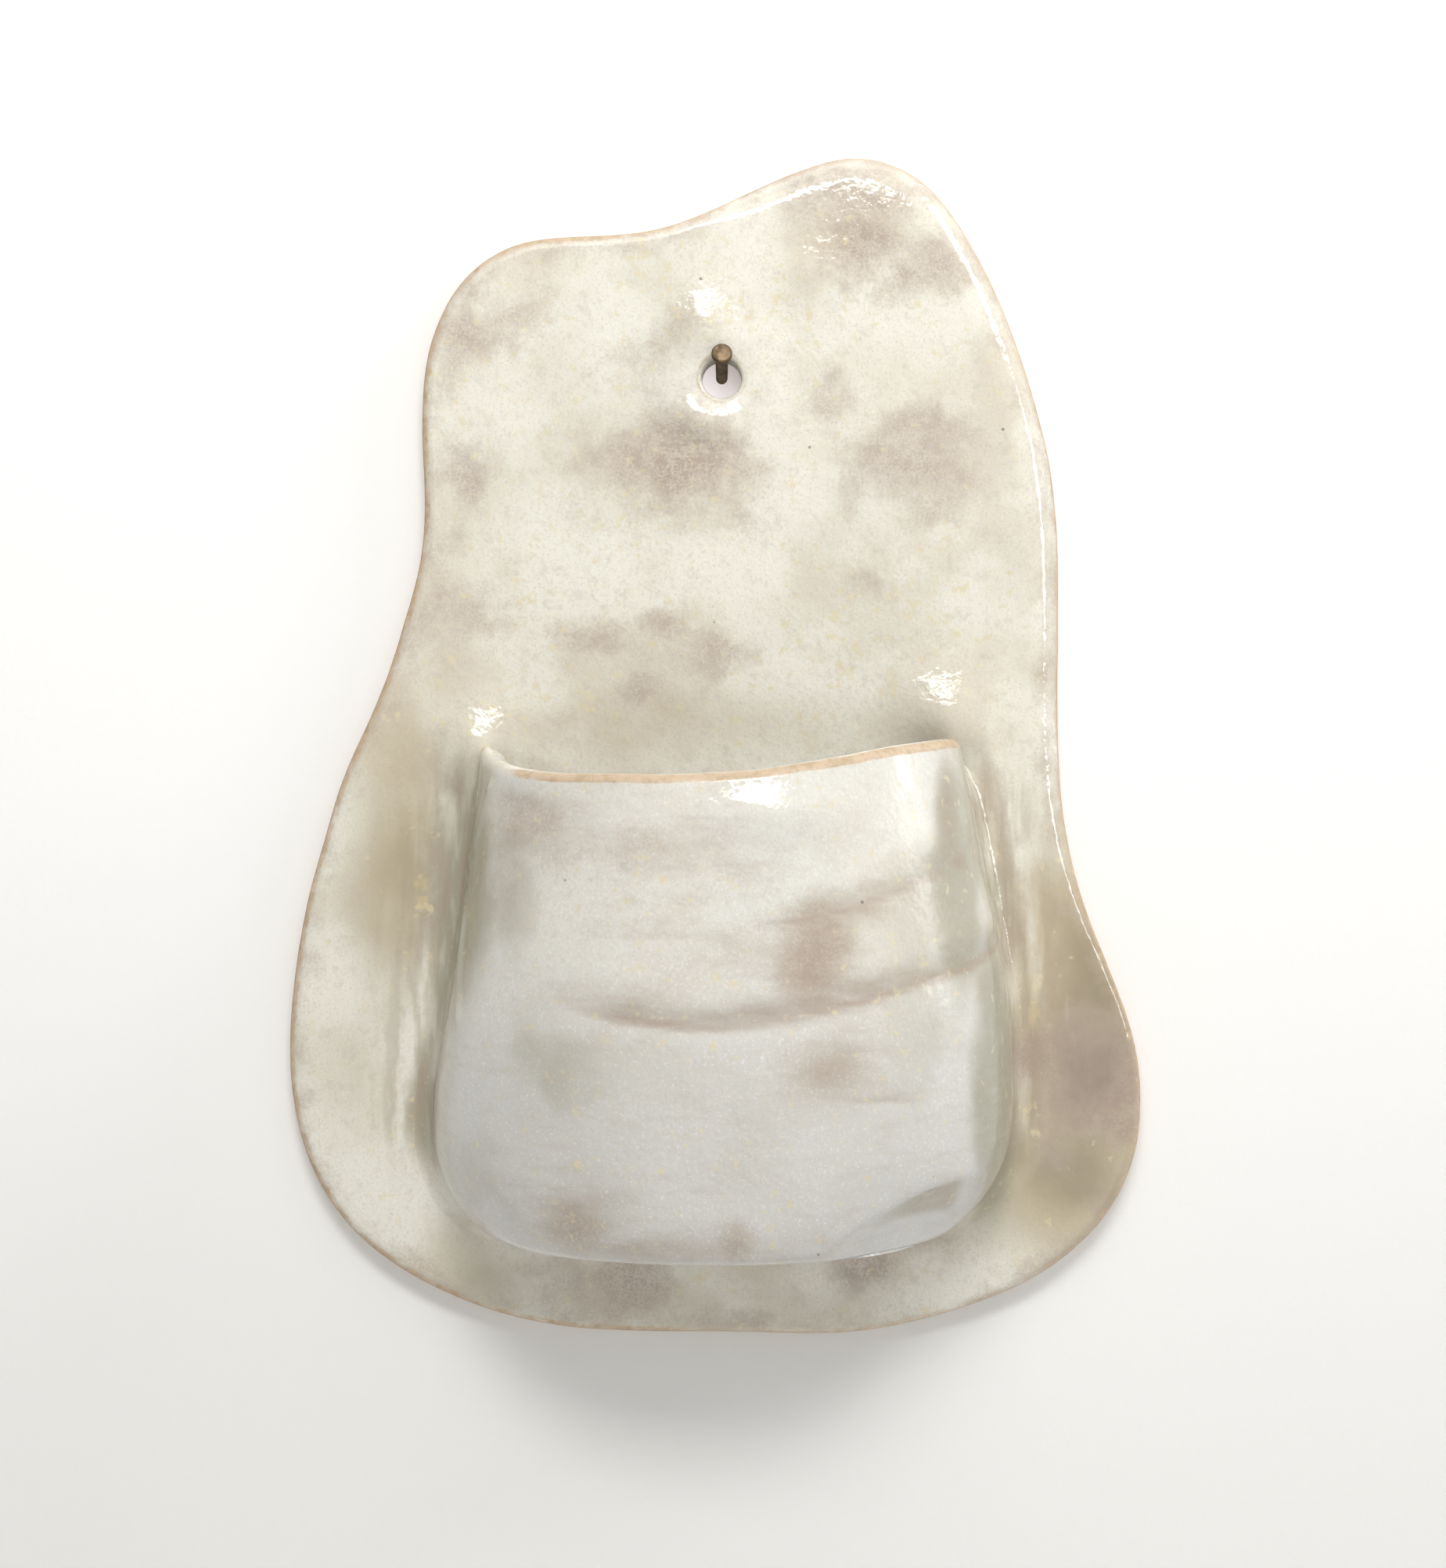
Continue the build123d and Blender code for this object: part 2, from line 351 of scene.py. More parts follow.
# Pitted by the firing, so that a reflection breaks up into small glints
grainy_places = [
    (898, 396, 34, 26, 0.9), (905, 572, 16, 26, 0.8), (1006, 438, 24, 18, 0.8),
    (1105, 300, 50, 60, 0.6), (1202, 877, 34, 16, 0.9), (630, 914, 18, 14, 0.9),
    (862, 450, 10, 10, 0.6), (1190, 1090, 30, 80, 0.5), (1125, 1210, 16, 30, 0.6),
]
# Less glossy
dry_places = [(1185, 1065, 55, 60, 1.0), (1175, 1200, 90, 60, 1.0), (1180, 1340, 90, 90, 1.0),
              (900, 1450, 250, 110, 0.8)]

# Creases wiped into the pocket's front: pixels across and down from right to left, half
# width and depth in millimetres, and how brown the crease is
pocket_creases = [
    ([(1222, 1100), (1180, 1124), (1130, 1143), (1080, 1160), (1020, 1176), (960, 1184)],
     2.6, 0.75, 0.9),
    ([(1282, 1190), (1258, 1222), (1225, 1240), (1190, 1250), (1150, 1264), (1100, 1278), (1050, 1291),
      (990, 1304), (930, 1311), (860, 1309), (790, 1300), (715, 1286)], 2.8, 0.85, 1.0),
    ([(1165, 1400), (1120, 1404), (1080, 1404), (1045, 1400)], 1.8, 0.35, 0.8),
    ([(930, 1196), (860, 1196), (790, 1192), (735, 1186)], 2.2, 0.22, 0.4),
]
# Fades of a crease outside and inside its left end, and outside and inside its right end
crease_fades = (9.0, 14.4, 2.0, 5.0)

# Brown smears along and between the creases, as patches
pocket_stains = [
    (1205, 1116, 45, 9, 0.55), (1140, 1140, 50, 12, 0.70), (1085, 1162, 45, 17, 0.85),
    (1052, 1195, 36, 28, 0.85), (1035, 1245, 38, 38, 0.90), (975, 1225, 60, 36, 0.45),
    (1225, 1232, 35, 8, 0.55), (1165, 1250, 50, 10, 0.65), (1100, 1264, 50, 14, 0.80),
    (1040, 1280, 45, 16, 0.90), (985, 1294, 45, 15, 0.95), (925, 1305, 50, 12, 0.90),
    (860, 1300, 50, 12, 0.70), (800, 1290, 50, 12, 0.60), (735, 1278, 40, 12, 0.50),
    (1130, 1400, 35, 6, 0.55), (1065, 1365, 38, 26, 0.65), (1095, 1345, 30, 18, 0.40),
    (850, 1188, 100, 12, 0.35), (690, 1062, 90, 26, 0.55), (860, 1075, 70, 50, 0.40),
    (960, 1110, 40, 30, 0.40), (700, 1030, 60, 12, 0.45), (740, 1550, 50, 30, 0.60),
    (870, 1590, 100, 14, 0.50), (1226, 1100, 18, 14, 0.90), (1212, 1040, 12, 60, 0.80),
    (1244, 1080, 8, 60, 0.55), (1262, 1020, 8, 50, 0.50), (1290, 1190, 14, 16, 0.55),
]
# The line where the left coil's smear ends: its pixels, half width and height in millimetres
left_smear = [(626, 1008), (615, 1049), (607, 1081), (600, 1124), (595, 1167), (589, 1225), (587, 1300)]
left_smear_width, left_smear_height = 1.1, 0.8

# A dent and a roll in the pocket's front: pixel, half sizes and height in millimetres
pocket_dents = [((652, 1026), (11.0, 9.0, 3.4), -1.1), ((985, 1040), (15.0, 30.0, 5.0), 1.3)]

# Clay pushed up on the slab's face, above all where the rim's ends are smeared onto it: pixel
# across and down, half width, half height and height in millimetres
slab_swellings = [
    (898, 416, 3.2, 4.6, 1.6), (895, 535, 4.4, 2.6, 0.9), (616, 946, 5.5, 4.6, 2.2),
    (600, 982, 3.4, 5.0, 1.8), (1202, 902, 7.0, 5.0, 2.0), (1222, 938, 5.0, 5.0, 2.2),
    (1045, 350, 6.0, 5.0, 0.9), (1120, 275, 9.0, 5.0, 0.5), (760, 700, 16.0, 12.0, 0.4),
]

# Flats left by the maker's knife on the pocket's lower edge: pixel, the way the flat faces,
# depth, and how much painted shade greys the glaze there
knife_flats = [((1188, 1532), (0.52, -0.52, -0.68), 1.2, 0.90),
               ((812, 1606), (-0.20, -0.72, -0.66), 0.5, 0.10)]


def patches(points, places, on_pocket):
    """The strongest of some soft round patches at each point."""
    strongest = np.zeros(len(points))
    for px, py, half_wide, half_high, strength in places:
        off = points - in_picture(px, py, on_pocket)
        wide, high = half_wide * mm_per_pixel_at_wall, half_high * mm_per_pixel_at_wall
        off = np.stack([off[:, 0] / wide, off[:, 1] / max(wide, high), off[:, 2] / high], -1)
        strongest = np.maximum(strongest, strength * np.exp(-patch_fall * (off ** 2).sum(1)))
    return strongest


def crease_offsets(points, pixels):
    """Height of each point above a crease, and how much of the crease is there."""
    line = np.array([in_picture(px, py, True) for px, py in pixels])
    line = line[np.argsort(line[:, 0])]
    left, right = line[0, 0], line[-1, 0]
    x = points[:, 0]
    above = points[:, 2] - through(line[:, 0], line[:, 2], np.clip(x, left, right))
    left_out, left_in, right_out, right_in = crease_fades
    strength = ease(x, left - left_out, left + left_in) * ease(x, right + right_out, right - right_in)
    return above, strength * (points[:, 1] < slab_front_y - 6)


def line_distance(points, pixels):
    """Distance of each point from a line drawn on the pocket."""
    corners = np.array([in_picture(px, py, True) for px, py in pixels])
    share = np.linspace(0, 1, 12)[:, None]
    return nearest(points, np.vstack([a + (b - a) * share for a, b in zip(corners, corners[1:])]))


def pocket_relief(points):
    """How far the pocket's outer face stands out from its plain form."""
    out = waves(points, pocket_waves)
    broken = 0.8 + 0.5 * waviness(points, *crease_breaks)
    for pixels, half_width, depth, _ in pocket_creases:
        above, strength = crease_offsets(points, pixels)
        # Wiped upwards: steep below the line, easier above it, with a low fold over it
        groove = np.where(above > 0, hump(above, half_width), hump(above, 0.6 * half_width))
        fold = hump(above - 2.2 * half_width, 1.5 * half_width)
        out += strength * broken * depth * (0.50 * fold - 0.55 * groove)
    for pixel, sizes, height in pocket_dents:
        off = (points - in_picture(*pixel, True)) / sizes
        out += height * np.exp(-(off ** 2).sum(1))
    return out + left_smear_height * hump(line_distance(points, left_smear), left_smear_width)


def slab_relief(points):
    """How far the slab's front stands out from a flat face."""
    x, up = points[:, 0], points[:, 2] - hole_centre_z
    out = waves(points, slab_waves) - 0.15
    # The lip round the nail hole, highest at its lower left
    from_hole = np.hypot(x, up)
    lower_left = ease(np.cos(np.arctan2(up, x) - hole_lip_way), 0.2, 0.8)
    lip = hole_lip + (hole_lip_low - hole_lip) * lower_left
    out += lip * ease(from_hole, *lip_rises) * ease(from_hole, *lip_runs_out)
    # Along the sides of the pocket: the coil's raised border, and strokes left by a finger
    border = 0.5 * hump(seam_distance(points) - coil_border, 1.0)
    out += (border + 0.28 * finger_strokes(points)) * beside_pocket(points)
    for px, py, wide, high, proud in slab_swellings:
        off = (points - in_picture(px, py, False)) / (wide, 20.0, high)
        out += proud * np.exp(-0.5 * (off ** 2).sum(1))
    return out


def seam_path(count_side, count_foot):
    """Where the pocket meets the slab: down its left side, along its foot, up its right side."""
    heel = foot_rounding / pocket_height
    heights = np.linspace(1.0, heel, count_side)
    left = arch_point(1.0, heights)
    right = arch_point(0.0, heights[::-1])
    corner = np.linspace(0, pi / 2, 7)[1:]
    pieces = [left]
    for side, end in ((1.0, left[-1]), (0.0, right[0])):
        sole = arch_point(side, 0.0, foot_rounding)
        turn = corner if side else corner[::-1]
        x = end[0] + (sole[0] - end[0]) * (1 - np.cos(turn))
        z = end[2] + (sole[2] - end[2]) * np.sin(turn)
        pieces.append(np.stack([x, np.full_like(x, slab_front_y), z], -1))
    start, stop = pieces[1][-1], pieces[2][0]
    share = np.linspace(0, 1, count_foot + 2)[1:-1, None]
    return np.vstack([left, pieces[1], start + (stop - start) * share, pieces[2], right])


def seam_distance(points):
    """Distance of each point from the joint of pocket and slab."""
    return nearest(points, seam_path(40, 40))


def beside_pocket(points):
    """1 on the slab to the left and right of the pocket, 0 below and above it."""
    z = points[:, 2]
    up = ease(z - foot_z, *border_above_foot) * ease(z - rim_top_z, *border_above_rim)
    return up * ease(np.abs(points[:, 0]), *border_off_middle)


def finger_strokes(points):
    """Upright strokes left on the slab by a finger working along the joint."""
    from_seam = seam_distance(points)
    strokes = waviness(points * stroke_squash, *stroke_waves)
    return strokes * ease(from_seam, *strokes_begin) * ease(from_seam, *strokes_end)


def glaze_marks(points):
    """What the glaze does at each point, with painted shade and a painted highlight laid on among its
    marks, from the place alone, so that it runs on over joints.
    """
    x, y, z = points.T
    from_seam = seam_distance(points)
    off_slab = ease(slab_front_y - y, *front_off_slab)
    stain = patches(points, pocket_stains, True)
    for pixels, half_width, _, brown in pocket_creases:
        above, strength = crease_offsets(points, pixels)
        stain = np.maximum(stain, brown * strength * hump(above + 0.2, 0.5 * half_width))

    # Along the joint the glaze pooled, most at the left, and was drawn down in upright streaks
    beside = ease(z - foot_z, *streaks_above_foot)
    pooled = 0.35 + beside * (0.15 + 0.45 * ease(x, *pool_to_left))
    pooled = pooled * ease(z - rim_top_z, *pool_above_rim) * np.exp(-(from_seam / pool_reach) ** 4)
    # The patches add painted shade on the pocket's flanks to the pooled glaze
    places = np.maximum(patches(points, pool_and_shade_places, True), patches(points, pool_and_shade_places, False))
    drawn = beside * ease(z - rim_top_z, *streaks_above_rim) * hump(from_seam, streak_reach)

    # Beige shows on the slab more than on the pocket, with painted shade among its patches, and less on
    # the coil's raised border, where that is a painted highlight on the ridge
    beige = (1 - 0.6 * off_slab) * patches(points, beige_and_shade_places, False)
    beige = np.maximum(0.30 - 0.24 * off_slab, beige)
    beige -= 0.3 * beside_pocket(points) * (1 - off_slab) * hump(from_seam - coil_border, 1.1)
    # The front mark is partly the glaze's cooler tone and partly painted shade, deepest near the foot
    low = ease(z - foot_z, *shade_above_foot)
    return {"smoke_and_shade": np.maximum(patches(points, slab_smoke, False), patches(points, pocket_smoke, True)),
            "stain": stain, "pool_and_shade": np.maximum(pooled, places), "beige": beige,
            "front": off_slab * (0.6 + 0.75 * low), "drawn": drawn * ease(np.abs(x), *streaks_off_middle),
            "dry": patches(points, dry_places, True), "grainy": patches(points, grainy_places, False),
            "ochre": patches(points, ochre_places, False), "thin": np.zeros(len(points))}


def strengthen(marks, name, values):
    """Raises a mark to the values where they are higher."""
    marks[name] = np.maximum(marks[name], values)


# ---- Materials ----

def linear(colour):
    """sRGB hex to Blender's linear colour."""
    parts = [int(colour[i:i + 2], 16) / 255 for i in (1, 3, 5)]
    return tuple(c / 12.92 if c <= 0.04045 else ((c + 0.055) / 1.055) ** 2.4 for c in parts) + (1.0,)


def add(tree, kind, settings=None, **inputs):
    """Adds a node: settings are its own properties, inputs are values or links by socket name."""
    node = tree.nodes.new("ShaderNode" + kind)
    for key, value in (settings or {}).items():
        setattr(node, key, value)
    for key, value in inputs.items():
        key = key.replace("_", " ")
        socket = node.inputs[int(key[1:])] if key[0] == "i" and key[1:].isdigit() else node.inputs[key]
        if isinstance(value, bpy.types.NodeSocket):
            tree.links.new(value, socket)
        else:
            socket.default_value = value
    return node


def blend(tree, first, second, share):
    """Mixes two colours, each an sRGB hex or another node's output."""
    node = add(tree, "Mix", {"data_type": "RGBA"}, i0=share)
    for socket, colour in ((node.inputs[6], first), (node.inputs[7], second)):
        if isinstance(colour, bpy.types.NodeSocket):
            tree.links.new(colour, socket)
        else:
            socket.default_value = linear(colour)
    return node.outputs[2]


def ramp(tree, value, low, high, bottom=0.0, top=1.0, shape="LINEAR"):
    """Goes from bottom to top while the value goes from low to high."""
    return add(tree, "MapRange", {"interpolation_type": shape}, Value=value, From_Min=low,
               From_Max=high, To_Min=bottom, To_Max=top).outputs[0]


def grit(tree, place, size, detail):
    """Even noise of a size in millimetres."""
    return add(tree, "TexNoise", Vector=place, Scale=1 / (size * MM), Detail=detail).outputs["Fac"]


def bumps(tree, height, strength, depth, over=None):
    """Turns the surface's normals by a height, with a depth in millimetres."""
    under = {} if over is None else {"Normal": over}
    return add(tree, "Bump", Height=height, Strength=strength, Distance=depth * MM, **under).outputs[0]


def surface(tree, **inputs):
    """The body of a material, led to its output."""
    add(tree, "OutputMaterial", Surface=add(tree, "BsdfPrincipled", **inputs).outputs[0])


def new_material(name):
    material = bpy.data.materials.new(name)
    material.use_nodes = True
    tree = material.node_tree
    tree.nodes.clear()
    return material, tree, add(tree, "TexCoord").outputs["Object"]


def glazed_stoneware():
    """Buff stoneware under a milky, semi-opaque tin-white glaze, fired glossy. To the eye: a cool
    white with warm beige clouds, mauve-grey smoked patches, sugar-fine mottle where the glaze
    crystallised, ochre freckles, celadon where it pooled and bare toasted clay where it ran thin.
    Painted shade greys the pocket's front, flanks and knife flats and the slab above the rim, and
    a painted highlight lightens the coil's raised border."""
    material, tree, place = new_material("milky_white_stoneware_glaze")
    mm = add(tree, "VectorMath", {"operation": "SCALE"}, Vector=place, Scale=1 / MM).outputs[0]

    def wave(size, detail, roughness, seed, stretch=(1.0, 1.0, 1.0)):
        moved = add(tree, "VectorMath", {"operation": "MULTIPLY_ADD"}, i0=mm, i1=stretch,
                    i2=(seed, seed, seed)).outputs[0]
        return add(tree, "TexNoise", Vector=moved, Scale=1 / size, Detail=detail,
                   Roughness=roughness).outputs["Fac"]

    def scaled(value, by, plus=0.0):
        return add(tree, "Math", {"operation": "MULTIPLY_ADD"}, i0=value, i1=by, i2=plus).outputs[0]

    def rise(value, low, high, bottom=0.0, top=1.0):
        return ramp(tree, value, low, high, bottom, top, "SMOOTHSTEP")

    def tint(colour, share):
        """Lays a colour over what the body has so far."""
        nonlocal body
        body = blend(tree, body, colour, share)

    def mark(name):
        return add(tree, "Attribute", {"attribute_name": name}).outputs["Fac"]

    # Waves by size in millimetres
    grain = wave(0.55, 2.0, 0.6, 3.0)
    mottle = wave(2.6, 3.0, 0.6, 11.0)
    cloud = wave(26.0, 3.0, 0.5, 29.0)
    wide_cloud = wave(70.0, 2.0, 0.5, 47.0)

    # The white, cooler and greyer on the pocket's front, with mottle and grain. The grey there is partly
    # painted shade, deeper towards the foot
    body = blend(tree, "#E8E5DA", "#DCD5C6", rise(cloud, 0.42, 0.66, 0.0, 0.6))
    tint("#E2E2D8", rise(wide_cloud, 0.45, 0.62, 0.0, 0.6))
    tint("#BCBDBC", scaled(mark("front"), 0.5))
    tint("#CBC4B8", rise(mottle, 0.50, 0.75, 0.0, 0.45))
    tint("#EFEDE6", rise(grain, 0.55, 0.72, 0.0, 0.45))
    tint("#CFC9BE", rise(grain, 0.47, 0.33, 0.0, 0.5))

    # Beige clouds, and celadon where the glaze pooled; both marks also carry painted shade, and the beige
    # one a painted highlight along the coil's raised border
    beige = scaled(mark("beige"), 1.0, rise(cloud, 0.35, 0.65, -0.12, 0.12))
    tint("#B2A485", rise(beige, 0.0, 1.1, 0.0, 0.9))
    # The deepest beige, past 0.9 of the mark, falls mostly on the right flange as painted shade
    tint("#8C7F66", rise(beige, 0.9, 1.4, 0.0, 0.8))
    # The pool mark's patches on the pocket's flanks and the knife flats' grey are painted shade
    pooled = scaled(mark("pool_and_shade"), 1.0, rise(cloud, 0.4, 0.6, -0.15, 0.15))
    tint("#9B9784", rise(pooled, 0.15, 1.0, 0.0, 0.8))

    # Smoked patches with ragged edges, softer on the front, broken up by the grain; the same mark carries
    # the knife flats' painted shade
    ragged = scaled(scaled(wave(9.0, 5.0, 0.62, 5.0), 1.0, -0.5), scaled(mark("front"), -0.8, 1.3))
    smoked = scaled(mark("smoke_and_shade"), 1.0, ragged)
    smoke_and_shade = rise(smoked, 0.14, 1.05)
    broken = rise(scaled(grain, 0.45, scaled(mottle, 0.55)), 0.42, 0.60, 1.0, 0.4)
    tint("#BFB3A2", rise(smoke_and_shade, 0.0, 0.5, 0.0, 0.35))
    tint("#A08D80", scaled(scaled(smoke_and_shade, 0.75), broken))
    tint("#84756A", rise(smoked, 1.05, 1.85, 0.0, 0.6))

    # Brown wiped along the creases by a wet finger
    wiped = wave(4.0, 4.0, 0.65, 61.0, (0.4, 0.4, 1.5))
    tint("#BDB6AC", scaled(mark("front"), rise(wiped, 0.48, 0.72, 0.0, 0.25)))
    streak = scaled(mark("stain"), 1.0, scaled(wiped, 0.7, -0.35))
    tint("#A08D7D", rise(streak, 0.10, 1.15, 0.0, 0.72))

    # Upright streaks where a finger drew the wet clay down along the joint
    down = wave(3.4, 3.0, 0.5, 15.0, (1.0, 1.0, 0.2))
    tint("#A49682", scaled(mark("drawn"), rise(down, 0.40, 0.64, 0.0, 0.8)))
    tint("#DEDBCF", scaled(mark("drawn"), rise(down, 0.46, 0.30, 0.0, 0.35)))

    # Ochre freckles and spots, and a few specks of iron
    ochre = mark("ochre")
    freckle = scaled(ochre, 0.12, scaled(mark("beige"), -0.05, 0.01))
    freckle = scaled(wave(2.4, 3.0, 0.5, 37.0), 1.0, freckle)
    tint("#D9CDA6", rise(freckle, 0.61, 0.76, 0.0, 0.60))
    tint("#D9C48E", rise(scaled(ochre, 1.0, scaled(mottle, 1.0, -0.5)), 0.75, 1.25, 0.0, 0.65))
    iron = add(tree, "TexVoronoi", Vector=mm, Scale=1 / 13.0, Randomness=1.0)
    tint("#6E6257", scaled(rise(iron.outputs["Distance"], 0.034, 0.018), 0.7))

    # Toasted clay where the glaze ran thin
    thin = scaled(mark("thin"), 1.0, scaled(wave(3.0, 4.0, 0.7, 71.0), 0.9, -0.45))
    bare = rise(thin, 0.35, 0.75)
    clay = blend(tree, "#C5AB8D", "#B09572", rise(mottle, 0.42, 0.66))
    clay = blend(tree, clay, "#A98C6C", rise(grain, 0.52, 0.68, 0.0, 0.5))
    tint(clay, scaled(bare, 0.85))
    tint("#94775A", rise(thin, 0.98, 1.2, 0.0, 0.5))

    # Gloss with an orange-peel skin, rougher where it is bare or dry, pitted where it is grainy
    rough = scaled(rise(bare, 0.1, 0.9, 0.0, 0.36), 1.0, rise(mottle, 0.35, 0.75, 0.06, 0.13))
    rough = scaled(mark("dry"), 0.25, rough)
    grainy = mark("grainy")
    peel = scaled(wave(2.6, 1.5, 0.5, 83.0), 1.0, scaled(wave(1.1, 1.0, 0.5, 97.0), 0.4))
    skin = bumps(tree, peel, scaled(grainy, 0.7, scaled(mark("dry"), 0.1, 0.28)), 0.4)
    pits = bumps(tree, grain, scaled(grainy, 0.7, scaled(bare, 0.5, 0.04)), 0.1, skin)
    surface(tree, Base_Color=body, Roughness=rough, IOR=1.52, Normal=pits)
    return material


def bare_stoneware():
    """The slab's unglazed back: buff stoneware with fine grog, rolled on cloth, so matt and
    sandy, with kiln-toasted clouds."""
    material, tree, place = new_material("bare_buff_stoneware")
    grog = grit(tree, place, 0.9, 3.0)
    warm = blend(tree, "#CDB598", "#B4936F", grit(tree, place, 38.0, 3.0))
    colour = blend(tree, warm, "#8F7355", ramp(tree, grog, 0.58, 0.72, 0.0, 0.5))
    surface(tree, Base_Color=colour, Roughness=0.85, Normal=bumps(tree, grog, 0.6, 0.2))
    return material


def drawn_brass():
    """Brass wire, drawn and headed, dulled by the air: a brown tarnish film, half matt, over the
    yellow metal, so the head looks olive brown with a weak gleam."""
    material, tree, place = new_material("tarnished_drawn_brass")
    dull = grit(tree, place, 1.4, 4.0)
    colour = blend(tree, "#67543A", "#4A3C29", ramp(tree, dull, 0.4, 0.65))
    surface(tree, Base_Color=colour, Metallic=0.5, Roughness=ramp(tree, dull, 0.35, 0.7, 0.42, 0.6),
            Normal=bumps(tree, dull, 0.3, 0.04))
    return material


def wall_paint():
    """Matt white emulsion on plaster, a little greyer low down as painted shade for the room's light
    falling off down the wall, with a painted glow in the nail hole; from behind it isn't there.
    """
    material, tree, place = new_material("white_wall_paint")
    height = add(tree, "SeparateXYZ", Vector=place).outputs["Z"]
    # Painted shade: the paint greys lower down, as the room's light falls off
    low = ramp(tree, height, -60 * MM, -270 * MM, shape="SMOOTHSTEP")
    white = blend(tree, "#F7F7F6", "#F2F2F0", low)
    nap = bumps(tree, grit(tree, place, 3.0, 4.0), 0.25, 0.3)
    paint = add(tree, "BsdfPrincipled", Base_Color=white, Roughness=0.9, Normal=nap)
    # Down in the nail hole the camera still sees the wall pale, as in the picture
    # The pale there is a painted glow seen only by the camera, with painted shade towards the upper right
    from_nail = add(tree, "VectorMath", {"operation": "LENGTH"}, Vector=place).outputs["Value"]
    seen = add(tree, "LightPath").outputs["Is Camera Ray"]
    share = add(tree, "Math", {"operation": "MULTIPLY"},
                i0=ramp(tree, from_nail, 8 * MM, 6 * MM, 0.0, 0.85), i1=seen).outputs[0]
    across = add(tree, "VectorMath", {"operation": "DOT_PRODUCT"}, i0=place,
                 i1=(0.7, 0.0, 0.7)).outputs["Value"]
    painted_hole_glow_colour = blend(tree, "#FFF6F4", "#C2B6B0", ramp(tree, across, -4 * MM, 3 * MM))
    pale = add(tree, "Emission", Color=painted_hole_glow_colour, Strength=1.0)
    lit = add(tree, "MixShader", i0=share, i1=paint.outputs[0], i2=pale.outputs[0])
    clear = add(tree, "BsdfTransparent")
    behind = add(tree, "NewGeometry").outputs["Backfacing"]
    mix = add(tree, "MixShader", i0=behind, i1=lit.outputs[0], i2=clear.outputs[0])
    add(tree, "OutputMaterial", Surface=mix.outputs[0])
    return material


def floor_paint():
    """Matt pale paint, a little brighter than the light on it, so that the room looks even."""
    material, tree, _ = new_material("pale_floor")
    pale = linear("#E6E5E3")
    surface(tree, Base_Color=pale, Roughness=0.8, Emission_Color=pale, Emission_Strength=0.4)
    return material


# ---- Mesh helpers ----

def put(name, data):
    """An object with this mesh, lamp or camera, in the scene."""
    thing = bpy.data.objects.new(name, data)
    bpy.context.scene.collection.objects.link(thing)
    return thing


def make_piece(name, points, faces, materials, marks=None, face_material=None, crisp=55):
    """A closed, smooth-shaded mesh with its faces outwards, from points in millimetres."""
    points = np.asarray(points, float)
    fans = [(f[0], f[i], f[i + 1]) for f in faces for i in range(1, len(f) - 1)]
    a, b, c = (points[[f[k] for f in fans]] for k in range(3))
    volume = np.einsum("ij,ij->i", a, np.cross(b, c)).sum() / 6
    if volume < 0:
        faces = [tuple(reversed(f)) for f in faces]
    mesh = bpy.data.meshes.new(name)
    mesh.from_pydata((points * MM).tolist(), [], faces)
    for material in materials:
        mesh.materials.append(material)
    if face_material is not None:
        mesh.polygons.foreach_set("material_index", face_material)
    for key, values in (marks or {}).items():
        mark = mesh.attributes.new(key, "FLOAT", "POINT")
        mark.data.foreach_set("value", np.asarray(values, np.float32))
    mesh.polygons.foreach_set("use_smooth", [True] * len(faces))
    mesh.validate()
    mesh.set_sharp_from_angle(angle=radians(crisp))
    return put(name, mesh)


def strip(first, second):
    """Quads between two closed rings of vertex numbers."""
    n = len(first)
    return [(first[i], first[(i + 1) % n], second[(i + 1) % n], second[i]) for i in range(n)]


def ring_numbers(ring, around, start=0):
    """The vertex numbers of one ring among rings of as many vertices."""
    return list(range(start + ring * around, start + (ring + 1) * around))


def tube(rings, around):
    """Quads over rings that follow one another."""
    return [f for i in range(rings - 1)
            for f in strip(ring_numbers(i, around), ring_numbers(i + 1, around))]


def flat_ends(rings, around):
    """The two faces that close a tube."""
    return [tuple(ring_numbers(0, around))[::-1], tuple(ring_numbers(rings - 1, around))]


def pointed_ends(rings, around):
    """Triangles from a tube's first and last ring to the two vertices that follow the rings."""
    first, last, start = rings * around, rings * around + 1, (rings - 1) * around
    return ([(first, (i + 1) % around, i) for i in range(around)]
            + [(last, start + i, start + (i + 1) % around) for i in range(around)])


def in_space(flat, y):
    """Points across and up, at their places in Y."""
    return np.stack([flat[:, 0], np.broadcast_to(y, len(flat)), flat[:, 1]], -1)


def inside(points, ring):
    """Which points lie inside a closed ring, both given across and up."""
    x, z = points[:, 0:1], points[:, 1:2]
    x1, z1 = ring[:, 0], ring[:, 1]
    x2, z2 = np.roll(x1, -1), np.roll(z1, -1)
    crosses = ((z1 > z) != (z2 > z)) & (x < (x2 - x1) * (z - z1) / (z2 - z1 + 1e-12) + x1)
    return crosses.sum(1) % 2 == 1


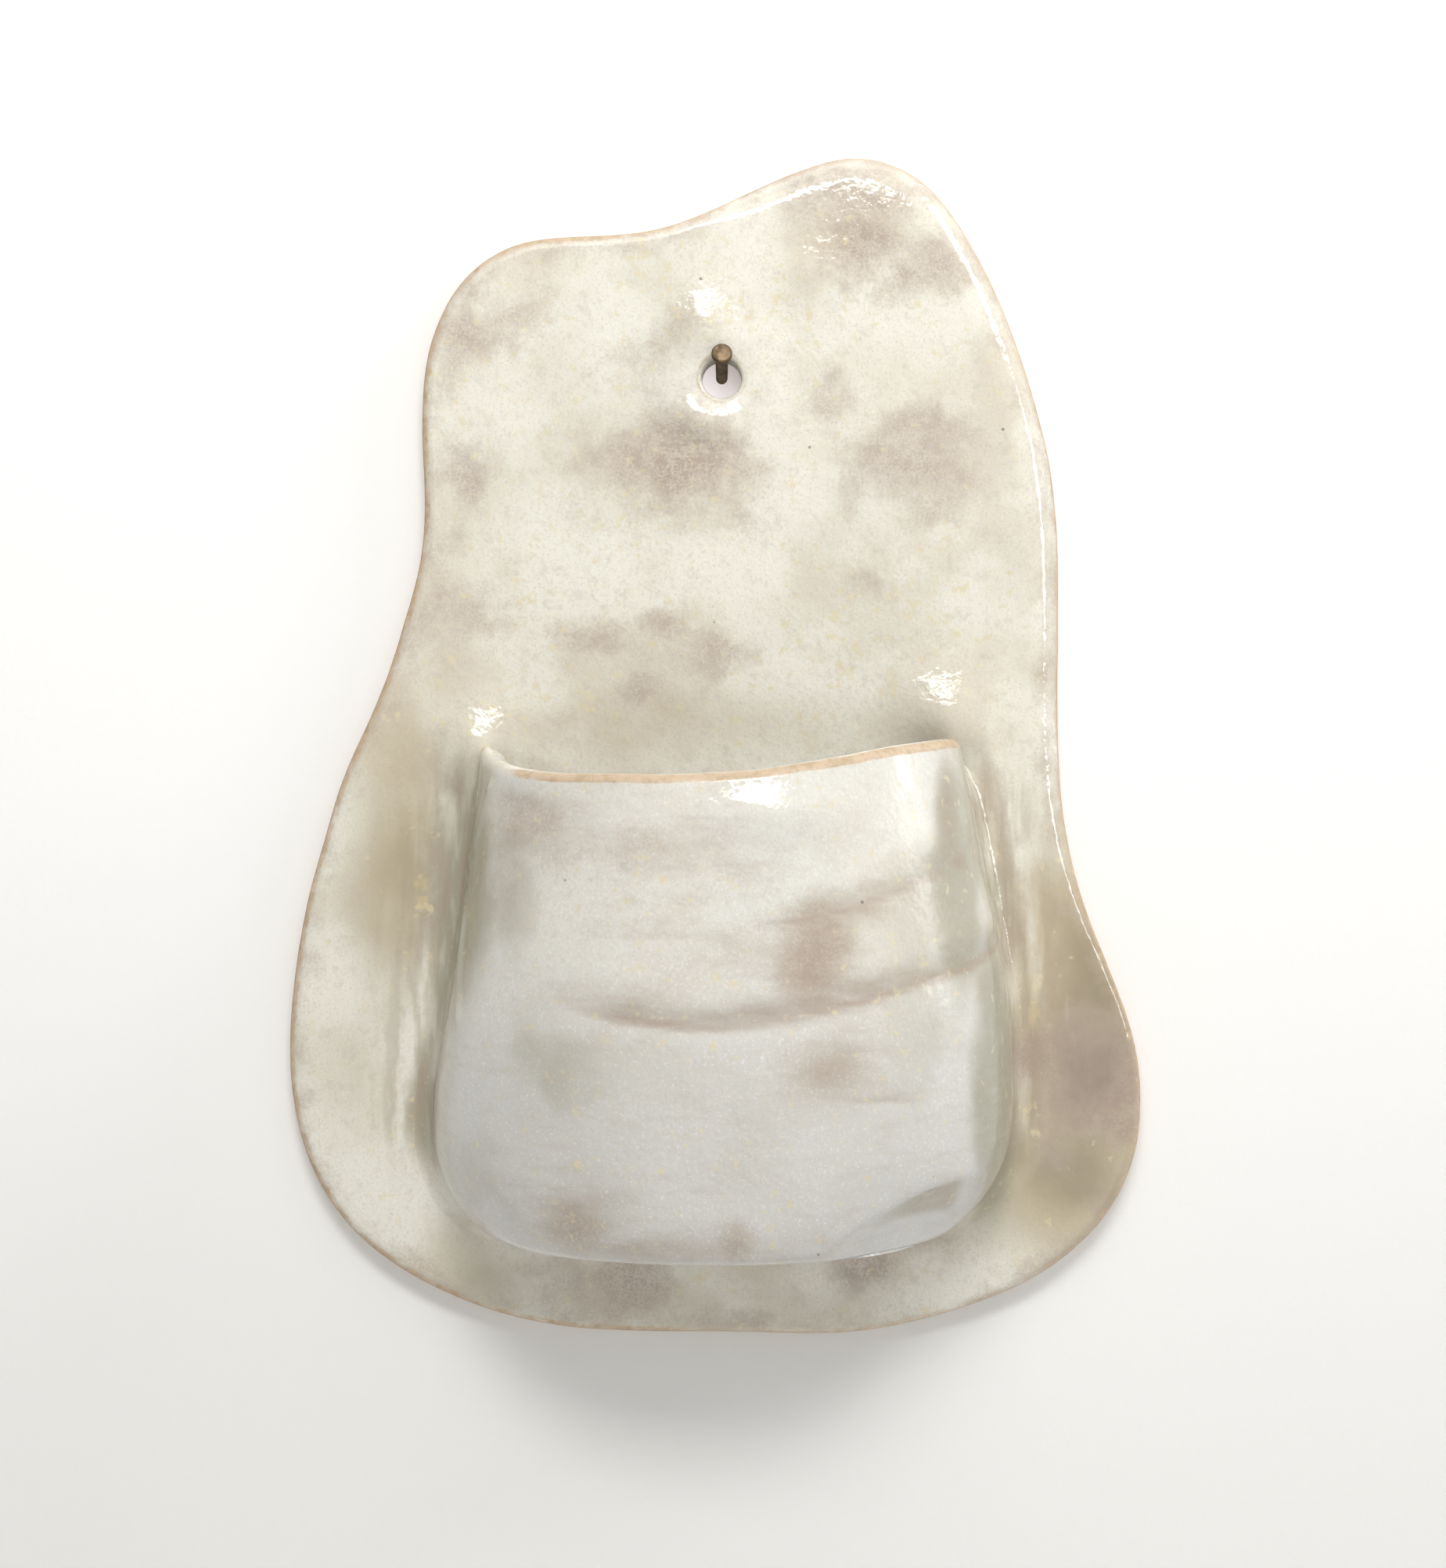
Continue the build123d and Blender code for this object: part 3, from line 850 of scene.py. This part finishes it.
def fill_between(outer, hole, spacing):
    """Triangles over the area between an outer ring and a round hole, with free points inside."""
    lo, hi = outer.min(0), outer.max(0)
    rows = np.arange(lo[1], hi[1], spacing * 0.866)
    free = np.array([(x + (k % 2) * spacing / 2, z) for k, z in enumerate(rows)
                     for x in np.arange(lo[0], hi[0], spacing)])
    free = free[inside(free, outer)]
    for ring in (outer, hole):
        free = free[nearest(free, ring) > spacing * 0.55]
    free = free[~inside(free, hole)]
    points = np.vstack([outer, hole, free])
    n, m = len(outer), len(hole)
    edges = [(i, (i + 1) % n) for i in range(n)] + [(n + i, n + (i + 1) % m) for i in range(m)]
    _, _, faces, origin, _, _ = delaunay_2d_cdt([Vector(p) for p in points], edges, [], 0, 1e-6)
    faces = [tuple(origin[i][0] for i in f) for f in faces]
    middles = np.array([points[list(f)].mean(0) for f in faces])
    keep = inside(middles, outer) & ~inside(middles, hole)
    return free, [f for f, k in zip(faces, keep) if k]


def orient(points, faces, way):
    """Turns each face so that it looks the given way."""
    way = np.array(way, float)
    turned = []
    for f in faces:
        a, b, c = points[f[0]], points[f[1]], points[f[2]]
        turned.append(f if np.dot(np.cross(b - a, c - a), way) > 0 else tuple(reversed(f)))
    return turned


def quarter(radius, count, start=pi / 2, stop=0.0):
    """Steps round a quarter circle, as distances from the two sides of the corner it rounds."""
    return [(radius * (1 - cos(a)), radius * (1 - sin(a))) for a in np.linspace(start, stop, count)]


# ---- Back slab ----

def edge_rings(outline):
    """Rings of the slab's edge from its back to its face: inset from the outline, and place in
    Y. The front turns from the side round a small corner, up a bevel and over a soft arc."""
    across, up = outline.T
    right = ease(across, *wide_edge_across) * ease(up, *wide_edge_up)
    peak = peak_edge_share * ease(across, *peak_edge_across) * ease(up, *peak_edge_up)
    wide = np.maximum(peak, right) * (1 + 0.12 * waviness(in_space(outline, 0), *edge_changes))
    arc = edge_arc + (edge_arc_right - edge_arc) * wide
    bevel = edge_bevel + (edge_bevel_right - edge_bevel) * np.maximum(wide - 0.3, 0) / 0.7
    even = 0 * arc
    back_steps, corner_steps, arc_steps = 5, 7, 15
    rings = [(inset + even, even - deep) for inset, deep in quarter(slab_back_rounding, back_steps)]
    lean_sin, lean_cos = sin(edge_lean), cos(edge_lean)
    rise = edge_corner * lean_cos + bevel * lean_sin + arc * (1 - lean_cos)
    band = slab_front_y + rise + slab_back_rounding
    rings += [(even, share * band - slab_back_rounding) for share in (0.33, 0.66)]
    rings += [(edge_corner * (1 - sin(a)) + even, slab_front_y + rise - edge_corner * cos(a))
              for a in np.linspace(pi / 2, edge_lean, corner_steps)]
    start = edge_corner * (1 - lean_sin) + bevel * lean_cos
    return rings + [(start + arc * (lean_sin - sin(a)), slab_front_y + arc * (1 - cos(a)))
                    for a in np.linspace(edge_lean, 0, arc_steps)]


def hole_rings():
    """Rings of the nail hole from its back to its front's rounding: radius, and place in Y."""
    back_steps, front_steps = 4, 9
    rings = [(hole_radius + wider, -deep) for wider, deep in quarter(hole_back_rounding, back_steps)]
    rings += [(hole_radius, -2.0), (hole_radius, -3.5)]
    return rings + [(hole_radius + wider, slab_front_y + deep)
                    for wider, deep in quarter(hole_rounding, front_steps, 0, pi / 2)]


def build_back_slab(glaze, clay):
    """The rolled slab, its edge softened by hand, glazed all over but for its bare back."""
    corners = [(x * slab_width, z * slab_height) for x, z in slab_outline_shares]
    outline = closed_curve(corners, outline_sides)
    along = np.roll(outline, -1, 0) - np.roll(outline, 1, 0)
    out = np.stack([-along[:, 1], along[:, 0]], -1) / np.linalg.norm(along, axis=1)[:, None]
    cut = waves(in_space(outline, 0), cut_waves) - cut_inset
    edge, bore = edge_rings(outline), hole_rings()
    turns = np.linspace(0, 2 * pi, hole_sides, endpoint=False)
    circle = np.stack([np.cos(turns), np.sin(turns)], -1)
    points = [in_space(outline + out * (cut - inset)[:, None], y) for inset, y in edge]
    points += [in_space(radius * circle + (0, hole_centre_z), y) for radius, y in bore]
    # The hole counts as far from the edge, so that the edge's marks and fades leave it alone
    insets = [inset for inset, _ in edge] + [np.full(hole_sides, 30.0)] * len(bore)
    points, insets = np.vstack(points), np.concatenate(insets)
    numbers = [ring_numbers(i, outline_sides) for i in range(len(edge))]
    hole_numbers = [ring_numbers(i, hole_sides, len(edge) * outline_sides) for i in range(len(bore))]

    faces = [f for rings in (numbers, hole_numbers)
             for a, b in zip(rings, rings[1:]) for f in strip(b, a)]
    # Its front and its back: which rings bound it, its place in Y, its spacing and its way
    for end, y, spacing, way in ((-1, slab_front_y, front_spacing, (0, -1, 0)),
                                 (0, 0.0, back_spacing, (0, 1, 0))):
        ring, hole = numbers[end], hole_numbers[end]
        free, sheet = fill_between(points[ring][:, [0, 2]], points[hole][:, [0, 2]], spacing)
        lookup = ring + hole + list(range(len(points), len(points) + len(free)))
        points = np.vstack([points, in_space(free, y)])
        insets = np.concatenate([insets, nearest(free, outline)])
        faces += orient(points, [tuple(lookup[i] for i in f) for f in sheet], way)

    x, y = points[:, 0], points[:, 1]
    from_hole = np.hypot(x, points[:, 2] - hole_centre_z)
    front = ease(y, slab_front_y + 2.5, slab_front_y) * ease(from_hole, hole_radius, hole_radius + 1.2)
    points[:, 1] -= slab_relief(points) * front * ease(insets, 1, 11)

    # The glaze runs thin over the edge, less on its back half, and in a ring round the hole
    thin = sum(share * ease(insets, *fade) for share, fade in edge_thin)
    thin += 0.12 * ease(insets, 2.0, 0.8) * ease(x, 5, -20)
    thin *= ease(y, 0, -1) * 0.25 + 0.75
    thin *= 1 - 0.55 * ease(y, -1.2, -2.0) * ease(insets, 0.01, 0)
    marks = glaze_marks(points)
    marks["thin"] = np.maximum(thin, 0.52 * ease(from_hole, 4.5, 5.0) * ease(from_hole, 6.0, 5.3))
    strengthen(marks, "dry", 1.3 * ease(insets, 3.5, 2.0) * ease(x, 0, -14))
    strengthen(marks, "smoke_and_shade", 0.42 * ease(insets, 9, 3))
    behind = [1 if all(points[i][1] > -0.9 for i in f) else 0 for f in faces]
    return make_piece("back_slab_glazed", points, faces, [glaze, clay], marks, behind)


# ---- Pocket ----

def pocket_rows(turns):
    """The bent strip's section, row by row: round the foot, up the outer face, over the rim and
    down the inner face. Also gives the rows where the outer face starts, it ends and the rim ends."""
    dip = through(dip_turns, dip_shares, turns) * rim_dip
    rim_z = rim_top_z - dip + waves(arch_point(turns, 0.95), rim_waves)
    # The wall thins where its ends are smeared onto the slab
    smeared = smeared_left * ease(turns, 0.94, 0.995) + smeared_right * ease(turns, 0.06, 0.005)
    thickness = wall_thickness * (1 - smeared)
    # The rim's ends climb the slab in a short sweep
    off_slab = slab_front_y - arch_point(turns, 0.95)[:, 1]
    sweep = np.where(turns > 0.5, rim_sweep_left, rim_sweep_right)
    short = np.clip(sweep - off_slab, 0, None)
    rim_z = rim_z + sweep - np.sqrt(np.maximum(sweep ** 2 - short ** 2, 0))
    top_share = (rim_z - rim_round - foot_z) / pocket_height
    heel_share = foot_rounding / pocket_height

    foot_steps, outer_steps, rim_steps, inner_steps = 8, 84, 15, 50
    rows = [arch_point(turns, heel_share * (1 - sin(a)), foot_rounding * (1 - cos(a)))
            for a in np.linspace(pi / 2, 0, foot_steps)[:-1]]
    outer_first = len(rows)
    rows += [arch_point(turns, heel_share + (top_share - heel_share) * s)
             for s in np.linspace(0, 1, outer_steps)]
    outer_last = len(rows)
    for a in np.linspace(0, pi, rim_steps)[1:-1]:
        rows.append(arch_point(turns, top_share, thickness / 2 * (1 - cos(a))))
        rows[-1][:, 2] += rim_round * sin(a)
    rim_last = len(rows)
    rows += [arch_point(turns, top_share * s, thickness) for s in np.linspace(1, 0, inner_steps)]
    return np.array(rows).transpose(1, 0, 2), outer_first, outer_last, rim_last


def cut_flats(grid, share):
    """Cuts the knife's flats into the pocket's lower edge, and says how much painted shade greys each
    point.
    """
    grey = np.zeros(grid.shape[:2])
    for pixel, way, depth, tone in knife_flats:
        way = np.array(way) / np.linalg.norm(way)
        place = in_picture(*pixel, True)
        near = ease(np.linalg.norm(grid - place, axis=2), 28, 16)
        near = near * (grid[..., 2] < foot_z + 22) * (grid[..., 1] < slab_front_y - 12)
        cut = np.maximum((grid - place) @ way + depth, 0) * near * share
        across, up = grid[..., 0] - place[0], grid[..., 2] - foot_z
        soft = ease(across, -20, 2) * ease(across, 11, 5) * ease(up, 2, 8)
        grey = np.maximum(grey, ease(cut, 0, 0.8) * tone * soft)
        grid = grid - way * cut[..., None]
    return grid, grey


def build_pocket_front(glaze):
    """The bent clay strip from its right end round to its left end, both sunk into the slab."""
    turns = np.linspace(0, 1, 171)
    # Closer together near the two ends
    turns = turns - 0.35 * np.sin(2 * pi * turns) / (2 * pi)
    grid, outer_first, outer_last, rim_last = pocket_rows(turns)
    count, around = grid.shape[:2]

    # The outer face's relief, along its own normals, dying out over the rim and the foot
    normal = np.cross(np.gradient(grid, axis=0), np.gradient(grid, axis=1))
    normal /= np.linalg.norm(normal, axis=2)[..., None] + 1e-9
    middle = np.array([0, slab_front_y - 20, foot_z + pocket_height / 2])
    normal *= np.sign(((grid - middle) * normal)[:, outer_first:outer_last].sum())
    share = np.zeros(around)
    share[:outer_first] = np.linspace(0.3, 1, outer_first)
    share[outer_first:outer_last] = 1
    share[outer_last:rim_last] = np.linspace(1, 0, rim_last - outer_last + 2)[1:-1]
    relief = pocket_relief(grid.reshape(-1, 3)).reshape(count, around)
    relief *= share[None] * ease(slab_front_y - grid[..., 1], *relief_fade)
    grid, grey = cut_flats(grid + normal * relief[..., None], share[None])

    ends = [grid[0].copy(), grid[-1].copy()]
    for end in ends:
        end[:, 1] = slab_front_y + sunk_pocket
    points = np.concatenate([ends[0][None], grid, ends[1][None]]).reshape(-1, 3)
    count += 2

    # The glaze runs thin in a band along the front of the rim, which fades out at the left end
    row = np.arange(around)
    crest = outer_last + 7.0
    band = ease(row, outer_last - 1.0, outer_last + 0.4) * ease(row, crest - 1.2, crest - 3.0)
    width = through(band_turns, band_shares, np.linspace(0, 1, count))
    grey = np.vstack([grey[:1], grey, grey[-1:]]).ravel()
    marks = glaze_marks(points)
    marks["thin"] = (0.85 * band[None] * width[:, None]).ravel()
    # The flats' grey is painted shade, laid into the smoke and pool marks
    strengthen(marks, "smoke_and_shade", 0.6 * grey)
    strengthen(marks, "pool_and_shade", 1.2 * grey)
    faces = tube(count, around) + flat_ends(count, around)
    return make_piece("pocket_front_glazed", points, faces, [glaze], marks)


def floor_ring(inset, z, height):
    """A D-shaped ring of the floor at one level, its straight side sunk into the slab."""
    arch = arch_point(np.linspace(0, 1, 121), height, inset)
    first, last = arch[-1].copy(), arch[0].copy()
    first[1] = last[1] = slab_front_y + sunk_pocket
    share = np.linspace(0, 1, 42)[1:-1, None]
    ring = np.vstack([arch, first + (last - first) * share])
    ring[:, 2] = z
    return ring


def build_pocket_floor(glaze):
    """The floor plate, dished where the glaze pooled and rounded up into the wall, its underside
    smoothed out over the wall's foot."""
    middle = np.array([0.0, slab_front_y - 20.0, 0.0])
    top, under, dish = foot_z + floor_thickness, foot_z - 0.2, 0.35
    in_wall, cove = wall_thickness - 0.9, 3.0

    rings = []
    for share in (0.25, 0.5, 0.75):
        rings.append(middle * (1 - share) + floor_ring(foot_rounding + 3.0, under, 0.0) * share)
        rings[-1][:, 2] = under
    for inset, z in ((3.0, -0.25), (1.2, -0.22), (0.4, -0.12), (0.6, 0.5)):
        rings.append(floor_ring(foot_rounding + inset, foot_z + z, 0.0))
    rings += [floor_ring(in_wall, foot_z + 1.5, 0.02), floor_ring(in_wall, top + 3.2, 0.09)]
    rings += [floor_ring(wall_thickness - 0.15 + inset, top + up, 0.09)
              for inset, up in quarter(cove, 7, 0, pi / 2)]
    last = rings[-1]
    for share in (0.8, 0.6, 0.4, 0.2):
        rings.append(middle * (1 - share) + last * share)
        rings[-1][:, 2] = top - dish * (1 - share ** 2)
    count, around = len(rings), len(last)
    points = np.vstack(rings + [middle, middle])
    points[-2, 2], points[-1, 2] = under, top - dish
    marks = glaze_marks(points)
    strengthen(marks, "pool_and_shade", 0.75 * (points[:, 2] > foot_z + 2))
    faces = tube(count, around) + pointed_ends(count, around)
    return make_piece("pocket_floor_glazed", points, faces, [glaze], marks)


# ---- Seam coils ----

def build_seam_coils(glaze):
    """The clay worked into the joint: a hollow sweep from the slab's face up onto the pocket,
    cut into a left, a bottom and a right coil at the pocket's two lower corners."""
    side, foot = 60, 60
    path = seam_path(side, foot)
    n = len(path)
    along = np.gradient(path, axis=0)
    along = np.array([np.mean(along[max(i - 3, 0):i + 4], axis=0) for i in range(n)])
    along /= np.linalg.norm(along, axis=1)[:, None]
    away = np.stack([along[:, 2], np.zeros(n), -along[:, 0]], -1)
    height = (path[:, 2] - foot_z) / pocket_height
    size = ease(height, *coil_growth) * (0.9 + 0.1 * waviness(path, *coil_changes))
    size = np.maximum(size, coil_least) * np.where(np.abs(away[:, 2]) > 0.8, coil_foot_size, 1.0)

    # Toe on the slab and head on the pocket, which leans in over the climb
    left, right, front = level_sizes(height)
    climb = coil_climb * size
    outward = np.clip(climb / (front - slab_thickness), 0, 1)
    lean = (left + right) / 2 * (1 - (1 - outward ** arch_power) ** (1 / arch_power))
    lean = lean * np.abs(away[:, 0]) + coil_head_sunk
    toe = path + away * (coil_reach * size)[:, None]
    head = path - away * lean[:, None] - climb[:, None] * (0, 1, 0)
    t = np.linspace(0, 1, 23)[:, None, None]
    reach_in, rise_in = toe + (path - toe) * coil_pull, head + (path - head) * coil_pull
    reach_in[:, 1], rise_in[:, 0], rise_in[:, 2] = slab_front_y, head[:, 0], head[:, 2]
    curve = ((1 - t) ** 3 * toe + 3 * t * (1 - t) ** 2 * reach_in
             + 3 * t * t * (1 - t) * rise_in + t ** 3 * head)

    # The toe follows the slab's relief, and the middle has low waves of its own
    share = t[..., 0]
    settle = slab_relief(curve.reshape(-1, 3)).reshape(curve.shape[:2])
    curve[..., 1] -= (settle - 0.10) * (1 - share) ** 2
    lift = waves(curve.reshape(-1, 3), coil_waves).reshape(curve.shape[:2])
    curve[..., 1] -= lift * np.sin(pi * share) * size
    toe_under, root = curve[0] + away * 0.2, path - away * coil_root_depth
    head_under = curve[-1] - away * coil_head_depth
    toe_under[:, 1] = root[:, 1] = slab_front_y + sunk_coil
    grid = np.concatenate([curve, head_under[None], root[None], toe_under[None]]).transpose(1, 0, 2)

    coils = {}
    corners = (0, side + 3, n - side - 4, n - 1)
    for name, i in (("left_seam_coil", 0), ("bottom_seam_coil", 1), ("right_seam_coil", 2)):
        part = grid[corners[i]:corners[i + 1] + 1]
        points, (count, around) = part.reshape(-1, 3), part.shape[:2]
        faces = tube(count, around) + flat_ends(count, around)
        coils[name] = make_piece(name + "_glazed", points, faces, [glaze], glaze_marks(points))
    return coils


# ---- Nail ----

def lathe(name, outline, sides, material):
    """A closed turned piece round the nail's axis: outline rows are distance out of the wall
    along the axis, and radius."""
    turns = np.linspace(0, 2 * pi, sides, endpoint=False)
    circle = np.stack([np.cos(turns), np.zeros(sides), np.sin(turns)], -1)
    points = np.vstack([radius * circle - (0, out, 0) for out, radius in outline[1:-1]]
                       + [(0, -outline[0][0], 0), (0, -outline[-1][0], 0)])
    rings = len(outline) - 2
    c, s = cos(nail_rise), sin(nail_rise)
    tilt = np.array([[1, 0, 0], [0, c, s], [0, -s, c]])
    faces = tube(rings, sides) + pointed_ends(rings, sides)
    return make_piece(name, points @ tilt.T, faces, [material], crisp=35)


def build_nail(brass):
    """A drawn and headed nail: a head with a flat middle and a round edge, a burr below it, a
    neck, the shank and its point in the wall."""
    head_back = nail_exposed_length
    front = head_back + nail_head_thickness
    edge, flat, sag = 0.45, nail_head_radius - 0.45, 0.08
    outline = [(front + 0.02, 0)]
    outline += [(front - sag * s * s, flat * s) for s in (0.3, 0.6, 0.85, 1.0)]
    outline += [(front - sag - 0.42 * (1 - cos(a)), flat + edge * sin(a))
                for a in np.linspace(0.25, pi / 2, 6)]
    outline += [(head_back + 0.25, nail_head_radius), (head_back + 0.08, nail_head_radius - 0.08),
                (head_back, nail_head_radius - 0.25), (head_back - 0.02, nail_neck_radius + 0.12),
                (head_back - 0.25, nail_neck_radius), (0.0, nail_radius),
                (-nail_buried_length, nail_radius), (-nail_buried_length - 0.5, nail_radius - 0.12),
                (-nail_buried_length - nail_point_length + 0.3, 0.2),
                (-nail_buried_length - nail_point_length, 0)]
    return lathe("brass_nail", outline, 48, brass)


# ---- Stage, lamps and camera ----

# Soft panel lamps: name, direction from the vase across and up in degrees, distance, width and
# height in metres, watts, colour
lamps = [
    ("left_ceiling_light", -6.5, 40, 1.0, 0.32, 0.22, 3.0, "#FFFDFA"),
    ("right_ceiling_light", 8.5, 38, 1.0, 0.24, 0.22, 2.15, "#FFFDFA"),
    ("skylight", 8, 55, 0.6, 0.6, 0.3, 1.0, "#FFFEFB"),
    ("window_top", 74, 38, 1.4, 0.42, 0.50, 6.4, "#FBFDFF"),
    ("window_foot", 77, 14, 1.4, 0.16, 0.50, 2.6, "#FBFDFF"),
    ("soft_box", -3, 8, 1.5, 1.4, 1.0, 2.0, "#FFFEFC"),
    ("low_reflector", 4, -24, 1.5, 1.3, 0.8, 2.1, "#FFFEFC"),
    ("light_behind", 160, 25, 1.4, 1.2, 1.2, 16.0, "#FFFFFF"),
]
# The lamps aim at the middle of the vase. The room reaches this far to each side, down and up
lamp_aim = Vector((0, 0, -0.08))
room_side, room_floor, room_top = 3, -1.25, 1.6
# The wall is a hair in front of the slab's back, so that the lamp behind it lights that back
wall_y = -0.0002


def stage_plane(name, corners, material):
    mesh = bpy.data.meshes.new(name)
    mesh.from_pydata(corners, [], [(0, 1, 2, 3)])
    mesh.materials.append(material)
    plane = put(name, mesh)


def hang_lamp(name, across, up, distance, wide, high, power, colour):
    light = bpy.data.lights.new(name, "AREA")
    light.shape, light.size, light.size_y = "RECTANGLE", wide, high
    light.energy, light.color = power, linear(colour)[:3]
    holder = put(name, light)
    a, e = radians(across), radians(up)
    holder.location = lamp_aim + distance * Vector((sin(a) * cos(e), -cos(a) * cos(e), sin(e)))
    holder.rotation_euler = (lamp_aim - holder.location).to_track_quat("-Z", "Y").to_euler()


def set_stage():
    """A white wall, a pale floor, the lamps, and a white room that is brighter to look at, also
    in a reflection, than the light it gives."""
    side, floor, top = room_side, room_floor, room_top
    stage_plane("wall", [(-side, wall_y, floor), (side, wall_y, floor), (side, wall_y, top),
                         (-side, wall_y, top)], wall_paint())
    stage_plane("floor", [(-side, -side, floor), (side, -side, floor), (side, side, floor),
                          (-side, side, floor)], floor_paint())
    for row in lamps:
        hang_lamp(*row)
    world = bpy.data.worlds.new("room")
    bpy.context.scene.world = world
    world.use_nodes = True
    tree = world.node_tree
    rays = add(tree, "LightPath").outputs
    seen = rays["Is Camera Ray"]
    for kind in ("Is Transmission Ray", "Is Glossy Ray"):
        seen = add(tree, "Math", {"operation": "MAXIMUM"}, i0=seen, i1=rays[kind]).outputs[0]
    background = tree.nodes["Background"]
    background.inputs["Color"].default_value = linear("#FDFCFA")
    brightness = ramp(tree, seen, 0.0, 1.0, room_light, background_light)
    tree.links.new(brightness, background.inputs["Strength"])


def set_camera():
    data = bpy.data.cameras.new("camera")
    data.sensor_fit, data.sensor_width = "AUTO", sensor_width
    half_height = picture_height / 2 * mm_per_pixel_at_wall
    data.lens = data.sensor_width / 2 * camera_distance / half_height
    data.clip_start, data.clip_end = 0.01, 20
    camera = put("camera", data)
    camera.location = (camera_x * MM, -camera_distance * MM, camera_z * MM)
    camera.rotation_euler = (pi / 2, 0, 0)
    bpy.context.scene.camera = camera


# ---- The vase ----

set_camera()
bpy.context.scene.view_settings.view_transform = "Standard"
set_stage()

glaze, clay, brass = glazed_stoneware(), bare_stoneware(), drawn_brass()
pieces = {"back_slab": build_back_slab(glaze, clay), "pocket_front": build_pocket_front(glaze),
          "pocket_floor": build_pocket_floor(glaze)}
pieces.update(build_seam_coils(glaze))
for node_name, piece in pieces.items():
    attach(piece, "vase")
    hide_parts(node_name)

nail = build_nail(brass)
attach(nail, "nail")
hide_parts("nail")
